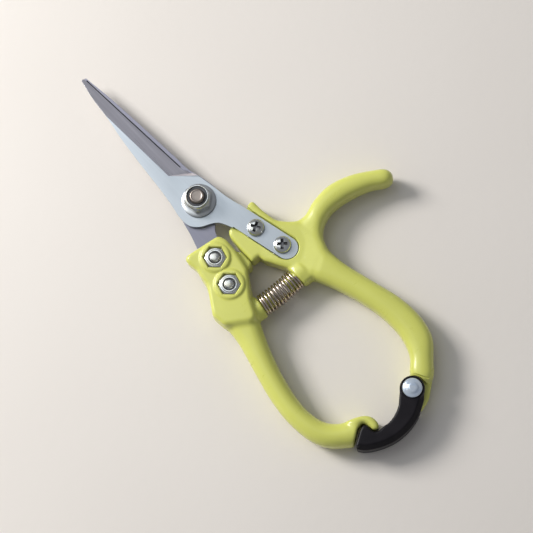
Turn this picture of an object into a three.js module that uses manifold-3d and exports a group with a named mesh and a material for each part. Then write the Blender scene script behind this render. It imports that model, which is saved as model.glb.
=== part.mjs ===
// Floral snips: two pointed blades on a pivot bolt, two moulded handles, a coil return spring, and a
// latch that holds the handles closed. Modelled closed and latched, lying flat.
// Millimetres, +Z up. The pivot axis is X = Y = 0, the tips point along +Y, and the snips rest on Z = 0.
// The right handle carries the upper blade on its top. The left handle is its counterpart turned over,
// and carries the lower blade on its underside.

import * as THREE from 'three';
import { ConvexGeometry } from 'three/addons/geometries/ConvexGeometry.js';
import { mergeVertices } from 'three/addons/utils/BufferGeometryUtils.js';
import Module from 'manifold-3d';

const wasm = await Module();
wasm.setup();

// ---------- driving dimensions ----------

const SLIDE_PLANE = 7; // height at which the two blades slide on each other
const FACE_GAP = 0.05; // clearance between flat faces that bear on each other
const FIT_GAP = 0.15; // radial clearance of a screw in its hole
const POCKET_GAP = 0.3; // clearance round a piece that lies in a recess

const BLADE_THICK = 1.8;
const BLADE_REACH = 71.6; // pivot to tip
const EDGE_THICK = 0.4; // blade thickness left at the cutting edge
const BEVEL_WIDTH = 4; // width over which a blade's outer face is ground down to its edge

const GRIP_THICK = 11.6; // thickness of both grips
const GRIP_ROUND = 2.4; // edge rounding of the grips
const HEAD_ROUND = 1; // edge rounding of the heads, where the blades are fastened
const RIM = 2.7; // a head's blade side, measured from the slide plane
const HEAD_BACK = 6.2; // a head's nut side, measured from the slide plane
const COLLAR_BACK = 6.7; // the raised collars round the nuts, from the slide plane
const COLLAR_RADIUS = 6;

const PIVOT_RADIUS = 3; // M6
const PIVOT_NUT_ACROSS = 10;
const PIVOT_NUT_HEIGHT = 5.6;
const PIVOT_HEAD_HEIGHT = 4;
const PIVOT_END = 16.3; // height of the bolt's end
const WASHER_THICK = 1;
const WASHER_RADIUS = 6.8;
const INSERT_WIDTH = 0.7; // a lock nut's nylon ring, from bore to edge
const HEX_SHARE = 0.66; // share of a lock nut's height that is hexagonal
const COLLAR_SHARE = 0.47; // radius of a lock nut's round collar, as a share of the width across flats

const SCREW_RADIUS = 2; // M4
const SCREW_HEAD_RADIUS = 3.4;
const SCREW_HEAD_HEIGHT = 2.2;
const SCREW_REACH = 6.9; // screw end, from the slide plane
const NUT_ACROSS = 7.5;
const NUT_HEIGHT = 4.8;
const NUT_SEAT = 1.7; // bottom of the nut pocket, from the slide plane

const TANG_WIDTH = 8.8;
const TANG_START = 11; // from the tang's front end to its front screw
const TANG_END = 2; // from the rear screw to the centre of the tang's round end
const RIGHT_SCREWS = [[8.9, -23.6], [11.8, -35.8]];
const LEFT_SCREWS = [[-10.9, -22.6], [-13.9, -34.3]];

const SPRING_RADIUS = 4.1; // to the middle of the wire
const WIRE_RADIUS = 0.48;
const SPRING_TURNS = 12.5;
const SPRING_HEIGHT = 6; // height of the spring's axis
const SPRING_LEFT = [-10.2, -47.7];
const SPRING_BEND = 0.2; // angle between the two spring seats, in radians
const SPRING_RIGHT = [7.4, -48.6];
const SPRING_SEAT_RADIUS = 4.6;
const PEG_RADIUS = 3;
const PEG_LENGTH = 5.5;

const LATCH_PIVOT = [9.75, -110.6];
const LATCH_HUB_RADIUS = 4.9;
const TONGUE_TOP = 5.5; // the right handle's end is thinned to this height under the latch
const TONGUE_RADIUS = 8.4; // reach of the tongue from the latch pivot
const HOOK_RADIUS = 21.5; // the left handle's hook ends inside this circle about the latch pivot
const TOOTH_RADIUS = 21.9; // the latch tooth lies outside this one
const RIVET_RADIUS = 1.9;
const RIVET_HEAD_RADIUS = 3.7;
const RIVET_HEAD_HEIGHT = 1.7;
const RIVET_WASHER_RADIUS = 3.3;
const RIVET_SEAT = 1.3; // depth of the counterbore for the rivet's washer

const PAST = 1; // drills and through cuts run this far beyond the faces they open
const CLEAR = 12; // deep cuts run this far from the slide plane, past everything

// ---------- helpers ----------

/** Turns a closed three.js geometry into a manifold solid. */
function solid(geometry) {
  const bare = geometry.clone();
  bare.deleteAttribute('normal');
  bare.deleteAttribute('uv');
  const merged = mergeVertices(bare, 1e-4);
  const index = merged.index.array;
  const triangles = [];
  for (let i = 0; i < index.length; i += 3) {
    const [a, b, c] = [index[i], index[i + 1], index[i + 2]];
    if (a !== b && b !== c && c !== a) triangles.push(a, b, c);
  }
  return new wasm.Manifold(new wasm.Mesh({
    numProp: 3,
    vertProperties: new Float32Array(merged.attributes.position.array),
    triVerts: new Uint32Array(triangles),
  }));
}

/** Turns a manifold solid back into a three.js geometry. */
function geometryOf(manifold) {
  const mesh = manifold.getMesh();
  const geometry = new THREE.BufferGeometry();
  geometry.setAttribute('position', new THREE.BufferAttribute(mesh.vertProperties, 3));
  geometry.setIndex(new THREE.BufferAttribute(mesh.triVerts, 1));
  return geometry;
}

const join = (first, ...others) => others.reduce((whole, next) => whole.add(next), first);
const cut = (body, ...tools) => tools.reduce((whole, tool) => whole.subtract(tool), body);

/** A closed smooth outline through a few points. */
function smoothOutline(points, perPoint = 3) {
  const corners = points.map(([x, y]) => new THREE.Vector3(x, y, 0));
  const curve = new THREE.CatmullRomCurve3(corners, true, 'centripetal');
  const samples = curve.getPoints(points.length * perPoint).slice(0, -1);
  return new THREE.Shape(samples.map((p) => new THREE.Vector2(p.x, p.y)));
}

/** A closed outline with straight sides. */
function straightOutline(points) {
  return new THREE.Shape(points.map(([x, y]) => new THREE.Vector2(x, y)));
}

/** A closed outline with straight sides and rounded corners. Each point is [x, y, corner radius]. */
function roundedOutline(points, steps = 4) {
  const outline = [];
  points.forEach(([x, y, radius = 0], i) => {
    const corner = new THREE.Vector2(x, y);
    const before = new THREE.Vector2(...points[(i + points.length - 1) % points.length]).sub(corner);
    const after = new THREE.Vector2(...points[(i + 1) % points.length]).sub(corner);
    const turn = Math.abs(before.angleTo(after)) / 2;
    const trim = Math.min(radius / Math.tan(turn), 0.48 * before.length(), 0.48 * after.length());
    const start = corner.clone().addScaledVector(before.normalize(), trim);
    const end = corner.clone().addScaledVector(after.normalize(), trim);
    const bend = new THREE.QuadraticBezierCurve(start, corner, end);
    outline.push(...(radius > 0 ? bend.getPoints(steps) : [corner]));
  });
  return new THREE.Shape(outline);
}

/** A regular polygon outline. across is its width across flats. */
function polygonOutline(x, y, across, sides, turn = 0) {
  const radius = across / 2 / Math.cos(Math.PI / sides);
  const outline = [];
  for (let i = 0; i < sides; i++) {
    const angle = turn + (i + 0.5) * 2 * Math.PI / sides;
    outline.push(new THREE.Vector2(x + radius * Math.cos(angle), y + radius * Math.sin(angle)));
  }
  return new THREE.Shape(outline);
}

/** A plate with the given plan outline between two heights, with rounded edges where round > 0. */
function slabGeometry(outline, low, high, round = 0, roundSteps = 3) {
  const geometry = new THREE.ExtrudeGeometry(outline, {
    depth: high - low - 2 * round,
    curveSegments: 5,
    bevelEnabled: round > 0,
    bevelThickness: round,
    bevelSize: round,
    bevelOffset: -round,
    bevelSegments: roundSteps,
  });
  return geometry.translate(0, 0, low + round);
}

const slab = (...args) => solid(slabGeometry(...args));

/** A plate between two heights measured from the slide plane. side 1 is upwards, -1 is turned over. */
function sidedSlab(side, outline, from, to, round = 0) {
  const ends = [SLIDE_PLANE + side * from, SLIDE_PLANE + side * to];
  return slab(outline, Math.min(...ends), Math.max(...ends), round);
}

/** A round body about a vertical axis, from a profile of [radius, height] points. */
function turnedGeometry(profile, x, y, segments = 32) {
  const points = profile.map(([radius, height]) => new THREE.Vector2(radius, height));
  return new THREE.LatheGeometry(points, segments).rotateX(Math.PI / 2).translate(x, y, 0);
}

/** A ring about a vertical axis. */
function ringGeometry(x, y, inner, outer, low, high, segments = 32) {
  const profile = [[inner, low], [outer, low], [outer, high], [inner, high], [inner, low]];
  return turnedGeometry(profile, x, y, segments);
}

/** A plain round pin about a vertical axis, used to drill holes. */
function pin(x, y, radius, low, high, segments = 32) {
  const geometry = new THREE.CylinderGeometry(radius, radius, high - low, segments);
  return solid(geometry.rotateX(Math.PI / 2).translate(x, y, (low + high) / 2));
}

// ---------- materials ----------

const finish = (color, roughness, metalness) => (
  () => new THREE.MeshStandardMaterial({ color, roughness, metalness }));
const bladeSteel = finish(0xb6c2cc, 0.38, 1);
const limePlastic = finish(0xc4ca5e, 0.38, 0);
const blackPlastic = finish(0x17151a, 0.5, 0);
const brightSteel = finish(0xc3c8cc, 0.25, 1);
const springSteel = finish(0xa08a72, 0.3, 1);
const nylon = finish(0x5c5f66, 0.6, 0);

const group = new THREE.Group();

/** Adds one named piece to the model. */
function add(name, shape, material) {
  const geometry = shape.isBufferGeometry ? shape : geometryOf(shape);
  const mesh = new THREE.Mesh(geometry, material());
  mesh.name = name;
  group.add(mesh);
}

// ---------- blades ----------

/** The strip that is screwed into a handle: a bar along the line of the two screws, with a round end. */
function tangOutline(screws, width) {
  const [front, rear] = screws.map(([x, y]) => new THREE.Vector2(x, y));
  const along = rear.clone().sub(front).normalize();
  const half = width / 2;
  const heading = along.angle();
  const start = front.clone().addScaledVector(along, -TANG_START);
  const end = rear.clone().addScaledVector(along, TANG_END);
  const outline = new THREE.Shape();
  outline.moveTo(start.x - half * along.y, start.y + half * along.x);
  outline.lineTo(start.x + half * along.y, start.y - half * along.x);
  outline.absarc(end.x, end.y, half, heading - Math.PI / 2, heading + Math.PI / 2);
  return outline;
}

/** A blade with its pivot and screw holes. side 1 is the upper blade, -1 the lower. */
function blade(side, profile, screws) {
  const low = side > 0 ? SLIDE_PLANE + FACE_GAP : SLIDE_PLANE - FACE_GAP - BLADE_THICK;
  const high = low + BLADE_THICK;
  const plate = join(slab(profile, low, high), slab(tangOutline(screws, TANG_WIDTH), low, high));
  const pivotHole = pin(0, 0, PIVOT_RADIUS + FIT_GAP, low - PAST, high + PAST);
  const screwHoles = screws.map(([x, y]) => (
    pin(x, y, SCREW_RADIUS + FIT_GAP, low - PAST, high + PAST, 16)));
  return cut(plate, pivotHole, ...screwHoles);
}

/** The wedge ground away from a blade's outer face, down to a thin cutting edge.
 * edge and grindLine each run from near the tip to the heel; outward is +1 where the edge faces +X. */
function bevelTool(side, edge, grindLine, outward) {
  const outerFace = SLIDE_PLANE + side * (FACE_GAP + BLADE_THICK);
  const edgeFace = SLIDE_PLANE + side * (FACE_GAP + EDGE_THICK);
  const slope = (BLADE_THICK - EDGE_THICK) / BEVEL_WIDTH;
  const overrun = 3;
  const corners = [];
  edge.forEach(([x, y]) => {
    corners.push(new THREE.Vector3(x + outward * overrun, y, edgeFace - side * slope * overrun));
    corners.push(new THREE.Vector3(x, y, edgeFace));
    corners.push(new THREE.Vector3(x + outward * overrun, y, outerFace + side * overrun));
  });
  grindLine.forEach(([x, y]) => {
    corners.push(new THREE.Vector3(x, y, outerFace));
    corners.push(new THREE.Vector3(x, y, outerFace + side * overrun));
  });
  return solid(new ConvexGeometry(corners));
}

function upperBlade() {
  const profile = new THREE.Shape();
  profile.moveTo(-0.6, BLADE_REACH);
  profile.splineThru([[-2.4, 63.3], [-3.9, 51], [-5.4, 41.5], [-6.6, 30.5], [-8.1, 13], [-9, 6]]
    .map((p) => new THREE.Vector2(...p)));
  profile.splineThru([[-9.9, 0.5], [-9.6, -4.5], [-7.8, -7.2], [-5.4, -8.9], [-2.6, -10.2], [-0.2, -12],
    [1.3, -14.6], [2.4, -17.2]].map((p) => new THREE.Vector2(...p)));
  profile.lineTo(11.25, -15.2);
  profile.splineThru([[10.5, -11.9], [9.1, -6.4], [8, 0.4], [7, 6], [5.7, 12.6]]
    .map((p) => new THREE.Vector2(...p)));
  profile.lineTo(3.8, 14.6);
  profile.lineTo(0.2, BLADE_REACH - 1);
  const bevel = bevelTool(1, [[0.4, BLADE_REACH + 2], [3.9, 9]], [[-3.4, BLADE_REACH + 2], [-2, 15.6]], 1);
  return cut(blade(1, profile, RIGHT_SCREWS), bevel);
}

function lowerBlade() {
  const profile = new THREE.Shape();
  profile.moveTo(0.9, BLADE_REACH);
  profile.splineThru([[1.9, 64.4], [2.7, 57], [3.4, 48.5], [4.1, 39], [4.7, 29.5], [5.3, 20.7], [5.7, 13.6],
    [7.6, 6], [8.4, -1], [6.8, -5.6], [2.5, -8.8], [-1.4, -10.8], [-3.6, -13.4], [-4.7, -16.4]]
    .map((p) => new THREE.Vector2(...p)));
  profile.lineTo(-13.4, -14.2);
  profile.splineThru([[-11.4, -7.5], [-10.2, -2], [-8.8, 3]].map((p) => new THREE.Vector2(...p)));
  profile.splineThru([[-6.4, 10], [-3, 14.6]].map((p) => new THREE.Vector2(...p)));
  profile.lineTo(0, BLADE_REACH - 0.6);
  const bevel = bevelTool(-1, [[0, BLADE_REACH + 2], [-3, 14.6]], [[3.6, BLADE_REACH + 2], [2, 15.6]], -1);
  return cut(blade(-1, profile, LEFT_SCREWS), bevel);
}

add('upper_blade', upperBlade(), bladeSteel);
add('lower_blade', lowerBlade(), bladeSteel);

// ---------- handles ----------

const RIGHT_GRIP = smoothOutline([
  [6, -29], [9, -24], [14, -24], [19.6, -30.6], [25.4, -32.8], [32.2, -30.8], [40.8, -30.1], [50, -32.8],
  [58.8, -38.1], [61.8, -40.5], [62.6, -43.4], [61, -45.8], [58.2, -46], [52.4, -42.6],
  [43.3, -39.6], [34.2, -39], [27.4, -41.9],
  [24, -47.8], [24.2, -55.8], [27.4, -69], [30.8, -82.5], [31.3, -92.4], [29.2, -101], [23.4, -107.8],
  [18, -113], [13, -111.6], [13, -106.2], [17.8, -100.8], [20.5, -92.9], [20.5, -82], [18.3, -71.6],
  [14.4, -60], [10.6, -52], [7.8, -45], [4.8, -38]]);

const RIGHT_HEAD = roundedOutline([
  [1, -16.6, 2.5], [11.2, -14.9], [15.3, -13.9, 1.4], [15.5, -20, 3], [16.6, -27, 4], [22, -33, 2],
  [24, -48, 4], [10.6, -53.2, 2], [7.9, -52.9], [7.6, -44.2], [2.5, -35.8, 2],
  [2.1, -32.9], [-1.4, -32.9], [-1.4, -25.8], [-0.8, -18.6, 3]]);

const LEFT_GRIP = smoothOutline([
  [-9, -25], [-13, -20.5], [-18.4, -22], [-20.6, -28.5], [-23, -34], [-26.1, -38.8], [-25.9, -45],
  [-26.5, -52.5], [-29.4, -65], [-32, -77], [-32.9, -88], [-31.6, -98.2], [-28, -105],
  [-23, -107.6], [-19, -104.8], [-19.6, -101], [-22.6, -97.6],
  [-24.3, -92], [-24.4, -84], [-22.2, -72.6], [-18.4, -60.6], [-14.4, -51], [-11, -43], [-7.6, -35.5]]);

const LEFT_HEAD = roundedOutline([
  [-20.6, -13.8, 3], [-4, -16.6, 2.5], [-2.9, -20, 3], [-3.3, -26.4], [-4.8, -34.4],
  [-11.8, -44.2], [-15.3, -52, 3], [-26, -45, 3], [-26.8, -38.8, 3], [-20.4, -28.5, 5], [-19.4, -21, 4]]);

const TONGUE = roundedOutline([
  [17.6, -103.6], [22.8, -109], [17.2, -113.6, 4], [12, -117.4, 4], [6.9, -118.7],
  [4.9, -113, 3], [4.9, -107.4, 4], [11.6, -106.4]]);

/** The end of the left handle: the hook, the notch beside it, and the end face beyond. */
const HOOK = new THREE.Shape();
HOOK.moveTo(-22, -99);
HOOK.splineThru([[-19.4, -101.2], [-16, -103.1], [-13, -104.4], [-10.6, -105.8], [-9, -107.6],
  [-8.4, -109.8], [-8.9, -112.2], [-10, -113]].map((p) => new THREE.Vector2(...p)));
HOOK.lineTo(-11.5, -112.2);
HOOK.lineTo(LATCH_PIVOT[0] - HOOK_RADIUS, -110.4);
HOOK.splineThru([[-11.9, -108.6], [-12.6, -107.4], [-13.8, -107], [-15, -107.4]]
  .map((p) => new THREE.Vector2(...p)));
HOOK.lineTo(-20.6, -111.2);
HOOK.splineThru([[-21.6, -110.9], [-23.6, -109.4], [-26.6, -106.9]].map((p) => new THREE.Vector2(...p)));

const LEFT_STOP = roundedOutline([
  [-4.5, -24.5], [-1.7, -27.2], [-1.7, -33], [-3, -34], [-8, -34], [-8, -26]]);

/** The mouth of each head's recess, where the blade widens from its tang. */
const RIGHT_MOUTH = straightOutline([[-3, -9], [11.9, -9], [12.6, -17], [3.4, -23], [-0.2, -15]]);
const LEFT_MOUTH = straightOutline([[-14.9, -9], [-1.6, -9], [-3.1, -16.4], [-5.4, -20.5], [-14, -17.5]]);

/** Where each grip slopes down to its head's rim. */
const RIGHT_RAMP = straightOutline([[-12, -4], [26, -4], [31, -26], [27, -46], [12, -56], [-12, -44]]);
const LEFT_RAMP = straightOutline([[-34, 4], [8, 4], [6, 42], [-8, 56], [-28, 54], [-36, 36]]);

/** A round peg square to a spring seat: part of it is buried in the handle. turn is that seat's tilt. */
function springPeg(from, towards, turn, radius = PEG_RADIUS, length = PEG_LENGTH) {
  const start = new THREE.Vector2(...from);
  const aim = new THREE.Vector2(...towards).sub(start).normalize();
  aim.rotateAround(new THREE.Vector2(), turn);
  const buried = 4;
  const geometry = new THREE.CylinderGeometry(radius, radius, length + buried, 24);
  geometry.rotateZ(aim.angle() - Math.PI / 2);
  const middle = start.addScaledVector(aim, (length - buried) / 2);
  return solid(geometry.translate(middle.x, middle.y, SPRING_HEIGHT));
}

/** The recess for a tang, its flared mouth, the screw holes, and the nut pockets behind them. */
function fasteningCuts(side, screws, mouth) {
  const recess = join(sidedSlab(side, tangOutline(screws, TANG_WIDTH + 2 * POCKET_GAP), 0, CLEAR),
    sidedSlab(side, mouth, 0, CLEAR));
  const holes = screws.map(([x, y]) => pin(x, y, SCREW_RADIUS + FIT_GAP, -CLEAR, 2 * CLEAR, 16));
  const pockets = screws.map(([x, y]) => {
    const hexagon = polygonOutline(x, y, NUT_ACROSS + 2 * POCKET_GAP, 6, pocketTurn(screws));
    return sidedSlab(side, hexagon, -NUT_SEAT, -CLEAR);
  });
  return [recess, ...holes, ...pockets];
}

/** The nuts are turned so that two flats are parallel to the tang. */
function pocketTurn([front, rear]) {
  return Math.atan2(rear[1] - front[1], rear[0] - front[0]) + Math.PI / 6;
}

/** The raised collars round the nut pockets. */
function nutCollars(side, screws) {
  return screws.map(([x, y]) => (
    sidedSlab(side, polygonOutline(x, y, 2 * COLLAR_RADIUS, 28), -NUT_SEAT, -COLLAR_BACK)));
}

/** The solid above a head's rim, spreading outwards as a ramp up to the thicker grip. */
function rampCut(side, outline) {
  const rise = side > 0 ? GRIP_THICK - SLIDE_PLANE - RIM : SLIDE_PLANE - RIM;
  const run = 8;
  const geometry = new THREE.ExtrudeGeometry(outline, {
    depth: 10,
    bevelThickness: rise,
    bevelSize: run,
    bevelOffset: -run,
    bevelSegments: 1,
  });
  geometry.translate(0, 0, RIM + rise);
  if (side < 0) geometry.rotateX(Math.PI);
  return solid(geometry.translate(0, 0, SLIDE_PLANE));
}

/** The space over the tongue that the latch turns in: all of it up to the step across the handle's end. */
function tongueCut() {
  const [x, y] = LATCH_PIVOT;
  const stepDistance = LATCH_HUB_RADIUS + 0.35;
  const across = 0.38; // direction from the latch pivot square to the step, in radians
  const tool = new THREE.BoxGeometry(60, 60, 20).translate(stepDistance - 30, 0, TONGUE_TOP + 10);
  return solid(tool.rotateZ(across).translate(x, y, 0));
}

function rightHandle() {
  const [x, y] = LATCH_PIVOT;
  const grip = slab(RIGHT_GRIP, 0, GRIP_THICK, GRIP_ROUND);
  const head = sidedSlab(1, RIGHT_HEAD, -HEAD_BACK, RIM, HEAD_ROUND);
  const tongue = slab(TONGUE, 0, TONGUE_TOP, 0.6, 1);
  const peg = springPeg(SPRING_RIGHT, SPRING_LEFT, SPRING_BEND / 2);
  const body = join(cut(join(grip, tongue), tongueCut(), rampCut(1, RIGHT_RAMP)), head, peg,
    ...nutCollars(1, RIGHT_SCREWS));
  const rivetHole = pin(x, y, RIVET_RADIUS + FIT_GAP, -PAST, GRIP_THICK, 24);
  const washerSeat = pin(x, y, RIVET_WASHER_RADIUS + POCKET_GAP, -PAST, RIVET_SEAT, 24);
  return cut(body, ...fasteningCuts(1, RIGHT_SCREWS, RIGHT_MOUTH), rivetHole, washerSeat);
}

function leftHandle() {
  const grip = slab(LEFT_GRIP, 0, GRIP_THICK, GRIP_ROUND);
  const hook = slab(HOOK, 0.3, GRIP_THICK - 0.3);
  const head = sidedSlab(-1, LEFT_HEAD, -HEAD_BACK, RIM, HEAD_ROUND);
  const stop = slab(LEFT_STOP, 1.5, 10.5, 0.5, 1);
  const seat = springPeg(SPRING_LEFT, SPRING_RIGHT, -SPRING_BEND / 2, SPRING_SEAT_RADIUS, 0);
  const peg = springPeg(SPRING_LEFT, SPRING_RIGHT, -SPRING_BEND / 2);
  const body = join(cut(join(grip, hook), rampCut(-1, LEFT_RAMP)), head, stop, seat, peg,
    ...nutCollars(-1, LEFT_SCREWS));
  return cut(body, ...fasteningCuts(-1, LEFT_SCREWS, LEFT_MOUTH));
}

add('right_handle', rightHandle(), limePlastic);
add('left_handle', leftHandle(), limePlastic);

// ---------- fasteners ----------

/** The lower and upper ends of a piece that lies between two heights from the slide plane. */
const span = (side, from, to) => {
  const ends = [SLIDE_PLANE + side * from, SLIDE_PLANE + side * to];
  return [Math.min(...ends), Math.max(...ends)];
};

/** A lock nut: a hexagon with a round collar that holds a nylon ring. It faces away from the work. */
function addLockNut(name, side, [x, y], { across, height, bore, seat, turn }) {
  const hexEnd = seat + HEX_SHARE * height;
  const end = seat + height;
  const hexagon = slab(polygonOutline(x, y, across, 6, turn), ...span(side, seat, hexEnd));
  const collar = pin(x, y, COLLAR_SHARE * across, ...span(side, seat + PAST, end));
  const hole = pin(x, y, bore + FIT_GAP, ...span(side, seat - PAST, end + PAST));
  const ringSeat = pin(x, y, bore + INSERT_WIDTH + 2 * FIT_GAP, ...span(side, hexEnd, end + PAST));
  add(name, cut(join(hexagon, collar), hole, ringSeat), brightSteel);
  const insert = ringGeometry(x, y, bore + FIT_GAP, bore + FIT_GAP + INSERT_WIDTH,
    ...span(side, hexEnd + FACE_GAP, end - 0.3));
  add(`${name}_insert`, insert, nylon);
}

function addPivot() {
  const stack = 2 * FACE_GAP + BLADE_THICK; // the blades' outer faces, from the slide plane
  const head = slab(polygonOutline(0, 0, PIVOT_NUT_ACROSS, 6, 0.3), 0, PIVOT_HEAD_HEIGHT);
  const shank = solid(turnedGeometry([[0, 1], [PIVOT_RADIUS, 1], [PIVOT_RADIUS, PIVOT_END - 0.6],
    [PIVOT_RADIUS - 0.6, PIVOT_END], [0, PIVOT_END]], 0, 0));
  add('pivot_bolt', join(head, shank), brightSteel);
  const washerHole = PIVOT_RADIUS + FIT_GAP;
  add('pivot_washer_bottom',
    ringGeometry(0, 0, washerHole, WASHER_RADIUS, ...span(-1, stack, stack + WASHER_THICK)), brightSteel);
  add('pivot_washer_top',
    ringGeometry(0, 0, washerHole, WASHER_RADIUS, ...span(1, stack, stack + WASHER_THICK)), brightSteel);
  addLockNut('pivot_nut', 1, [0, 0], {
    across: PIVOT_NUT_ACROSS,
    height: PIVOT_NUT_HEIGHT,
    bore: PIVOT_RADIUS,
    seat: stack + WASHER_THICK + FACE_GAP,
    turn: 0.2,
  });
}

/** A pan head screw with a cross recess: its head on the tang, its thread through the handle. */
function tangScrew(side, [x, y]) {
  const under = 2 * FACE_GAP + BLADE_THICK;
  const top = under + SCREW_HEAD_HEIGHT;
  const profile = [[0, -SCREW_REACH], [SCREW_RADIUS - 0.4, -SCREW_REACH], [SCREW_RADIUS, -SCREW_REACH + 0.4],
    [SCREW_RADIUS, under], [SCREW_HEAD_RADIUS, under], [SCREW_HEAD_RADIUS, under + 1.1],
    [0.85 * SCREW_HEAD_RADIUS, top - 0.4], [0.5 * SCREW_HEAD_RADIUS, top], [0, top]];
  const slots = [0, Math.PI / 2].map((turn) => new THREE.BoxGeometry(3.4, 0.7, 2.4)
    .rotateZ(turn + 0.5).translate(0, 0, top));
  const [body, ...recess] = [turnedGeometry(profile, 0, 0, 24), ...slots].map((shape) => {
    if (side < 0) shape.rotateX(Math.PI);
    return solid(shape.translate(x, y, SLIDE_PLANE));
  });
  return cut(body, ...recess);
}

function addTangFasteners(handle, side, screws) {
  const turn = pocketTurn(screws);
  ['front', 'rear'].forEach((place, i) => {
    add(`${handle}_tang_screw_${place}`, tangScrew(side, screws[i]), brightSteel);
    addLockNut(`${handle}_tang_nut_${place}`, -side, screws[i], {
      across: NUT_ACROSS,
      height: NUT_HEIGHT,
      bore: SCREW_RADIUS,
      seat: NUT_SEAT + FACE_GAP,
      turn,
    });
  });
}

addPivot();
addTangFasteners('right', 1, RIGHT_SCREWS);
addTangFasteners('left', -1, LEFT_SCREWS);

// ---------- return spring ----------

/** A helix whose axis is a shallow arc: it starts at the origin and its chord lies along +X. */
class BentHelix extends THREE.Curve {
  constructor(chord, bend, turns, radius) {
    super();
    this.arcRadius = chord / 2 / Math.sin(bend / 2);
    Object.assign(this, { chord, bend, turns, radius });
  }

  getPoint(t, target = new THREE.Vector3()) {
    const heading = (t - 0.5) * this.bend; // direction of the axis here
    const angle = t * this.turns * 2 * Math.PI;
    const outward = this.arcRadius + this.radius * Math.cos(angle);
    return target.set(
      this.chord / 2 + outward * Math.sin(heading),
      this.arcRadius * Math.cos(this.bend / 2) - outward * Math.cos(heading),
      this.radius * Math.sin(angle));
  }
}

function returnSpring() {
  const start = new THREE.Vector2(...SPRING_LEFT);
  const reach = new THREE.Vector2(...SPRING_RIGHT).sub(start);
  const clear = WIRE_RADIUS + 0.3; // the end turns stand this far off their seats
  const stepsPerTurn = 18;
  const path = new BentHelix(reach.length() - 2 * clear, SPRING_BEND, SPRING_TURNS, SPRING_RADIUS);
  const geometry = new THREE.ExtrudeGeometry(polygonOutline(0, 0, 2 * WIRE_RADIUS, 6), {
    steps: SPRING_TURNS * stepsPerTurn,
    extrudePath: path,
  });
  return geometry.translate(clear, 0, 0).rotateZ(reach.angle()).translate(start.x, start.y, SPRING_HEIGHT);
}

add('return_spring', returnSpring(), springSteel);

// ---------- latch ----------

/** The latch arm in plan: its hub round the rivet, the curved arm, the hook's notch and the tooth. */
function latchOutline() {
  const [x, y] = LATCH_PIVOT;
  const outline = new THREE.Shape();
  outline.moveTo(-0.4, -112.9);
  outline.lineTo(1.6, -111.8);
  outline.absarc(x, y, LATCH_HUB_RADIUS, 2.5, -1.1, true);
  outline.splineThru([[10, -116.7], [7, -118.4], [3.6, -120], [-0.6, -120.9], [-5.4, -121], [-9.6, -120.3],
    [-13, -119.1], [-16.4, -117.4], [-19.4, -115.2], [-21, -113.1]].map((p) => new THREE.Vector2(...p)));
  outline.lineTo(-20.2, -111.9);
  outline.lineTo(-15.2, -108.9);
  outline.lineTo(-13.3, -108.3);
  outline.lineTo(x - TOOTH_RADIUS, -109.3);
  outline.lineTo(x - TOOTH_RADIUS, -111.9);
  outline.splineThru([[-11.6, -113.2], [-10, -113.8], [-8, -113.7], [-5.6, -114.1], [-2.8, -113.7]]
    .map((p) => new THREE.Vector2(...p)));
  return outline;
}

function latchGate() {
  const [x, y] = LATCH_PIVOT;
  const arm = slab(latchOutline(), 0.4, GRIP_THICK - 0.2, 0.9, 2);
  const overTongue = pin(x, y, TONGUE_RADIUS + POCKET_GAP, -PAST, TONGUE_TOP + POCKET_GAP, 40);
  const rivetHole = pin(x, y, RIVET_RADIUS + 0.1, -PAST, GRIP_THICK + PAST, 24);
  return cut(arm, overTongue, rivetHole);
}

/** The rivet: a domed head above, the shank, and the upset end below the washer. */
function latchRivet() {
  const [x, y] = LATCH_PIVOT;
  const under = GRIP_THICK - 0.1;
  const rim = 0.3; // straight part of the head below its dome
  const dome = [];
  for (let i = 0; i <= 5; i++) {
    const angle = i / 5 * Math.PI / 2;
    const height = under + rim + (RIVET_HEAD_HEIGHT - rim) * Math.sin(angle);
    dome.push([RIVET_HEAD_RADIUS * Math.cos(angle), height]);
  }
  dome[5][0] = 0;
  const profile = [[0, 0.05], [2.4, 0.05], [2.6, 0.35], [RIVET_RADIUS, 0.45], [RIVET_RADIUS, under],
    [RIVET_HEAD_RADIUS, under], ...dome];
  return turnedGeometry(profile, x, y, 24);
}

add('latch_gate', latchGate(), blackPlastic);
add('latch_rivet', latchRivet(), brightSteel);
add('latch_rivet_washer',
  ringGeometry(...LATCH_PIVOT, RIVET_RADIUS + FIT_GAP, RIVET_WASHER_RADIUS, 0.5, 1.2, 24), brightSteel);

export default group;
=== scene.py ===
"""Looks for the floral snips: moulded handles, ground blades, plated fasteners, spring and latch.

Shapes are worked out in millimetres in the frame of the CAD model, and turned into metres when a
mesh is made.
"""

import itertools
import math

import bmesh
import bpy
import numpy as np
from mathutils import Matrix, Vector


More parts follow.
